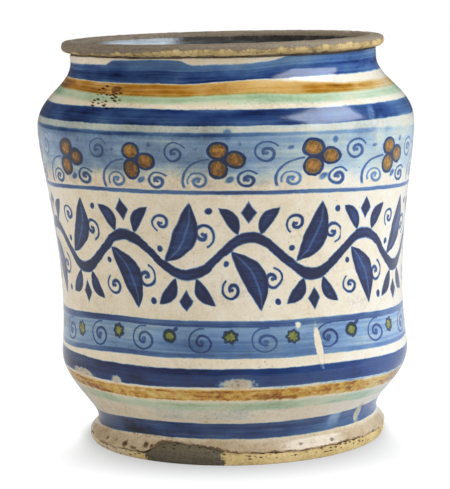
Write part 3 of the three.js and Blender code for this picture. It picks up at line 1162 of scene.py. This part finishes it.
def unroll(bm):
    # the painted side in two halves, one above the other, and the hidden side in a strip over them
    bm.normal_update()
    chart = bm.loops.layers.uv.new("OFBake")
    for face in bm.faces:
        middle = face.calc_center_median()
        hidden = face.normal.x * middle.x + face.normal.y * middle.y < 0
        behind = middle.y > 0
        home = math.pi if behind else 0.0
        low, tall = coat["charts"]["hidden" if hidden else "back" if behind else "front"]
        for loop in face.loops:
            co = loop.vert.co
            turned = (fromFront(co) - home + math.pi) % fullTurn - math.pi
            share = min(max((co.z / mm - coat["chartFoot"]) / coat["chartTall"], 0), 1)
            loop[chart].uv = (0.5 + turned / math.pi * 0.98, low + tall * share)


def makeGlazeCoat():
    wall = [*outsideOutline(1.0), *lipOutline(8)[:3]]
    low, high = coat["footHeight"], coat["rimHeight"]
    gap, thickness = coat["gap"], coat["thickness"]
    front = offsetOutline(resample(wall, low, high, coat["rowEvery"]), gap + thickness)
    back = offsetOutline(resample(wall, low, high, coat["backRows"]), gap)
    middle = gap + thickness / 2
    lowLip = (radiusAt(wall, low) + middle, low - 0.2)
    highLip = (radiusAt(wall, high) + middle, high + 0.15)
    outline = [lowLip, *front, highLip, *back[::-1]]
    bm = turnOutline(outline, coat["columns"], True)
    for vert in bm.verts:
        z = vert.co.z / mm
        angle = fromFront(vert.co)
        radius = math.hypot(vert.co.x, vert.co.y) / mm
        outer = radius > radiusAt(wall, z) + middle
        lift = (footGlazeEdge(angle) - low) * smooth(coat["footFade"], low, z)
        drop = (rimGlazeEdge(angle) - high) * smooth(coat["rimFade"], high, z)
        moved = z + lift + drop
        grown = 1 + (radiusAt(wall, moved) - radiusAt(wall, z)) / radius
        if outer:
            grown -= coat["flakeDeep"] * flaked(angle, moved) / radius
        vert.co.x *= grown
        vert.co.y *= grown
        vert.co.z = moved * mm
        asThrown(vert.co)
    unroll(bm)
    finish(bm, "glazeCoat", glazeMaterial(), ["outer_glaze"])


makeGlazeCoat()


# Floor, world and lamps

studio = {
    "floorSize": 6.0,
    "floorColour": srgb(218, 218, 220),
    # the camera sees little of the light on the floor, and a soft shade all round the foot
    "floorSeen": 0.15,
    "shade": (-0.5, 1.3, 0.44),
    "shadeWidths": (30.0, 5.0),  # in front, and at the sides and behind
    "shadeNarrows": (-62.0, -2.0),
    "lamps": (
        # name, place, width, height, watts, colour, seen in reflections
        ("keySoftbox", (0.848, -0.276, 0.74), 0.80, 0.62, 11.0, (0.93, 0.99, 1.08), True),
        ("leftFill", (-1.10, -0.95, 0.55), 1.40, 1.20, 5.6, (1.0, 1.0, 1.0), False),
        ("leftEdge", (-1.126, 0.65, 0.40), 1.00, 0.90, 6.4, (1.0, 1.0, 1.0), False),
        ("frontFill", (-0.10, -1.60, 0.80), 1.20, 1.00, 1.4, (1.0, 1.0, 1.0), False),
    ),
    "aim": (0, 0, 0.09),
    "worldLight": 0.40,
    "inReflections": 0.10,
}


def whiteAround(tree, s, forLight):
    # white to the camera and through glass, dimmer in reflections, and forLight to all else
    path = tree.nodes.new("ShaderNodeLightPath")
    rays = ("Is Camera Ray", "Is Transmission Ray", "Is Glossy Ray")
    seen, through, glossy = (Wire(tree, path.outputs[name]) for name in rays)
    direct = most(seen, through)
    return direct + (1.0 - direct) * (glossy * (s["inReflections"] - forLight) + forLight)


def addFloor(s):
    bm = bmesh.new()
    bmesh.ops.create_grid(bm, x_segments=1, y_segments=1, size=s["floorSize"] / 2)
    mesh = bpy.data.meshes.new("paleFloor")
    bm.to_mesh(mesh)
    bm.free()
    floor = bpy.data.objects.new("paleFloor", mesh)
    bpy.context.collection.objects.link(floor)
    material, tree, shader = newMaterial("paleFloor")
    toCamera = Wire(tree, tree.nodes.new("ShaderNodeLightPath").outputs["Is Camera Ray"])
    seen = [c * s["floorSeen"] for c in s["floorColour"][:3]] + [1.0]
    plug(tree, blend(tree, "MIX", toCamera, s["floorColour"], seen), shader.inputs["Base Color"])
    shader.inputs["Roughness"].default_value = 0.9
    shader.inputs["Specular IOR Level"].default_value = 0.1
    shader.inputs["Emission Color"].default_value = (1, 1, 1, 1)
    x, y, _ = split(tree, objectPlace(tree))
    # how far out from the foot's edge, as a share of the shade's width
    width = ramp(y, *s["shadeNarrows"], *s["shadeWidths"])
    away = (reach(x, y) - jar["footEdge"][0]) / width
    start, end, darkest = s["shade"]
    lift = ramp(away, start, end, darkest, 1.0)
    plug(tree, whiteAround(tree, s, 0.0) * lift, shader.inputs["Emission Strength"])
    mesh.materials.append(material)


def addLamps(s):
    for name, place, wide, tall, power, colour, mirrored in s["lamps"]:
        lamp = bpy.data.lights.new(name, "AREA")
        lamp.shape = "RECTANGLE"
        lamp.size = wide
        lamp.size_y = tall
        lamp.energy = power
        lamp.color = colour
        obj = bpy.data.objects.new(name, lamp)
        obj.location = place
        obj.rotation_euler = (Vector(s["aim"]) - Vector(place)).to_track_quat("-Z", "Y").to_euler()
        obj.visible_glossy = mirrored
        bpy.context.collection.objects.link(obj)


def addWorld(s):
    world = bpy.data.worlds.new("studio")
    world.use_nodes = True
    tree = world.node_tree
    background = tree.nodes["Background"]
    background.inputs["Color"].default_value = (1, 1, 1, 1)
    plug(tree, whiteAround(tree, s, s["worldLight"]), background.inputs["Strength"])
    scene = bpy.context.scene
    scene.world = world
    scene.view_settings.view_transform = "Standard"


addFloor(studio)
addLamps(studio)
addWorld(studio)
print("studio built")
